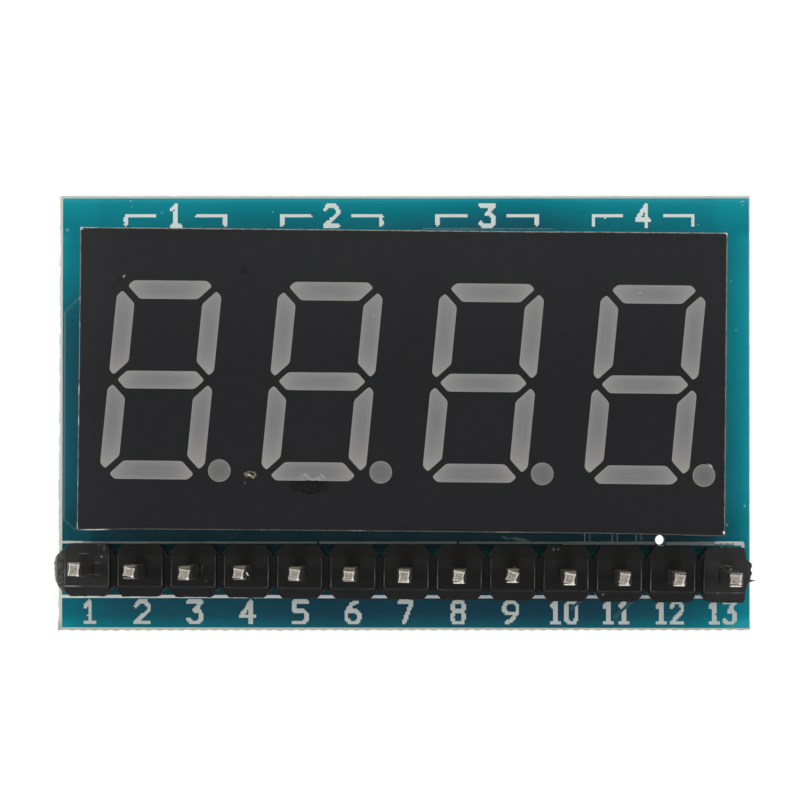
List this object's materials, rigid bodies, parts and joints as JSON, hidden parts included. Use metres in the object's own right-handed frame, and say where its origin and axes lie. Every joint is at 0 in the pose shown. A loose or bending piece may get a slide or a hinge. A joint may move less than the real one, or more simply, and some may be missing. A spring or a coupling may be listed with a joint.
{
  "type": "seven segment display module",
  "caption": "Flat module with a row of slanted seven-segment digits over a straight pin header on one printed board; it shows numbers when driven through its pins.",
  "frame": {"origin": "under the middle of the board's outline, on the surface that the soldered pin ends stand on", "axes": "+X along the pin header, +Y from the header towards the display, +Z out of the display's face"},
  "size_m": [0.0336, 0.0212, 0.0115],
  "materials": {
    "laminate": "bare glass-fibre laminate",
    "coating": "satin solder coating",
    "pad": "tinned copper",
    "insulator": "satin moulded",
    "pin": "tinned, cut tips",
    "solder": "bright solder",
    "housing": "moulded white",
    "film": "matte printed",
    "light_resin": "milky resin",
    "chip_board": "bare laminate",
    "die": "polished crystal",
    "seal": "cast resin",
    "lead": "tinned",
    "moulding": "moulded epoxy",
    "ceramic": "fired ceramic",
    "cap": "tinned"
  },
  "bodies": {
    "root": {"circuit_board": "laminate", "front_coating": "coating", "rear_coating": "coating", "pads": "pad", "header_insulator": "insulator", "header_pin_1": "pin", "header_pin_2": "pin", "header_pin_3": "pin", "header_pin_4": "pin", "header_pin_5": "pin", "header_pin_6": "pin", "header_pin_7": "pin", "header_pin_8": "pin", "header_pin_9": "pin", "header_pin_10": "pin", "header_pin_11": "pin", "header_pin_12": "pin", "header_pin_13": "pin", "header_solder": "solder", "display_housing": "housing", "display_film": "film", "digit_1": "light_resin", "digit_2": "light_resin", "digit_3": "light_resin", "digit_4": "light_resin", "chip_board": "chip_board", "light_dies": "die", "back_seal": "seal", "display_pin_1": "lead", "display_pin_2": "lead", "display_pin_3": "lead", "display_pin_4": "lead", "display_pin_5": "lead", "display_pin_6": "lead", "display_pin_7": "lead", "display_pin_8": "lead", "display_pin_9": "lead", "display_pin_10": "lead", "display_pin_11": "lead", "display_pin_12": "lead", "display_solder": "solder", "transistor_1": "moulding", "transistor_2": "moulding", "transistor_3": "moulding", "transistor_4": "moulding", "transistor_leads": "lead", "base_resistor_1": "ceramic", "base_resistor_2": "ceramic", "base_resistor_3": "ceramic", "base_resistor_4": "ceramic", "segment_resistor_1": "ceramic", "segment_resistor_2": "ceramic", "segment_resistor_3": "ceramic", "segment_resistor_4": "ceramic", "segment_resistor_5": "ceramic", "segment_resistor_6": "ceramic", "segment_resistor_7": "ceramic", "segment_resistor_8": "ceramic", "resistor_caps": "cap", "chip_solder": "solder"}
  },
  "joints": []
}
